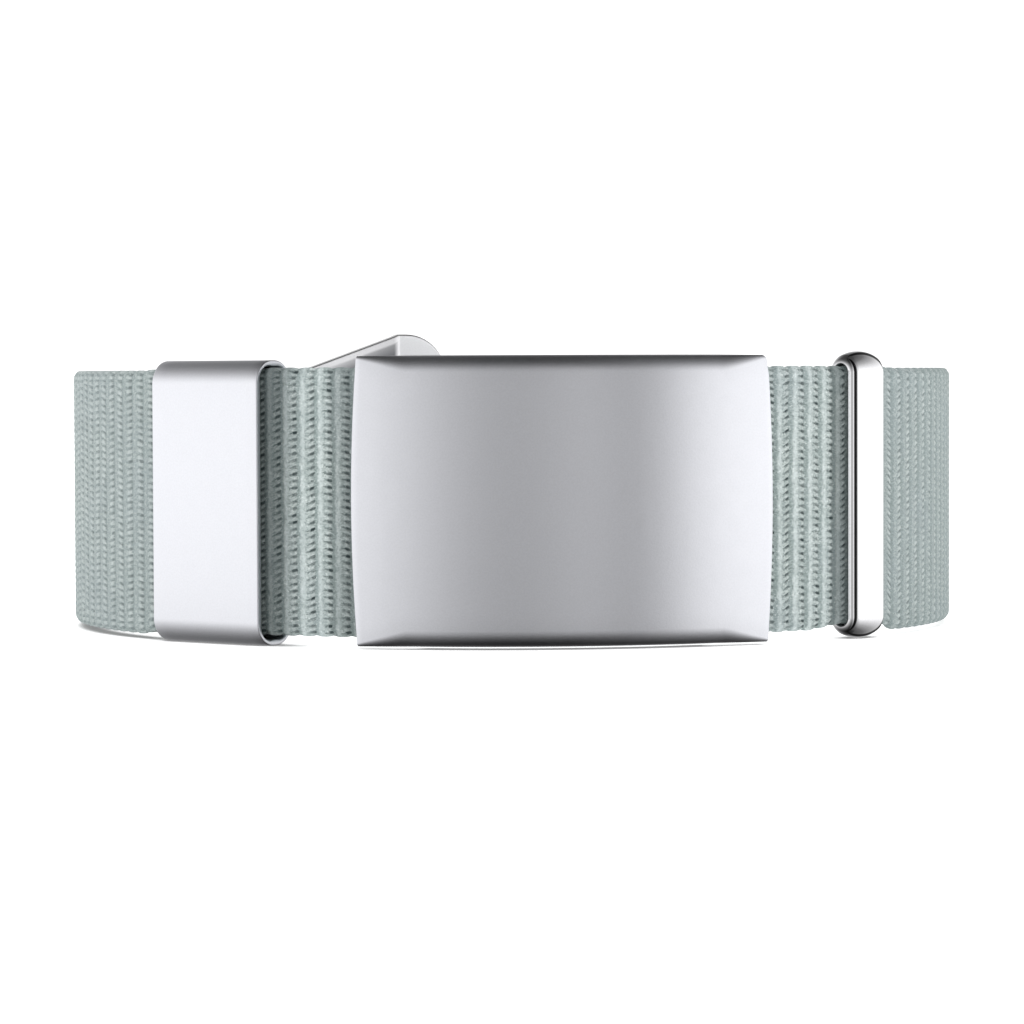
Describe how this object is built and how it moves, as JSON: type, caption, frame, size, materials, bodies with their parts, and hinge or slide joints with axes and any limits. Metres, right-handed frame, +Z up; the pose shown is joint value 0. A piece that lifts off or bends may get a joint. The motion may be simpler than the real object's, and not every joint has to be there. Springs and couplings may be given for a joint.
{
  "type": "medical alert bracelet",
  "caption": "Ribbed webbing bracelet with a curved blank steel identity plate, a flat keeper, a polished ring and a lever clasp.",
  "frame": {"origin": "middle of the overall outline in plan, on the surface that the bracelet stands on edge on", "axes": "+Z up along the loop's axis, across the webbing; -Y towards the plate's face; +X along the widest way of the loop, to the right of someone who faces the plate"},
  "size_m": [0.0798, 0.0832, 0.0268],
  "materials": {
    "webbing": "ribbed woven nylon, greenish grey",
    "satin_steel": "bead blasted satin stainless steel",
    "polished_steel": "mirror polished stainless steel"
  },
  "bodies": {
    "band": {"strap": "webbing", "id_plate": "satin_steel", "keeper": "satin_steel", "ring": "polished_steel", "clasp_case": "satin_steel", "clasp_pin": "polished_steel"},
    "lever": {"clasp_lever": "satin_steel"}
  },
  "joints": [
    {"name": "lever_hinge", "type": "hinge", "parent": "band", "child": "lever", "pos_m": [-0.0207, 0.02756, 0.0122], "axis": [0, 0, 1], "range_deg": [-33, 110]}
  ]
}
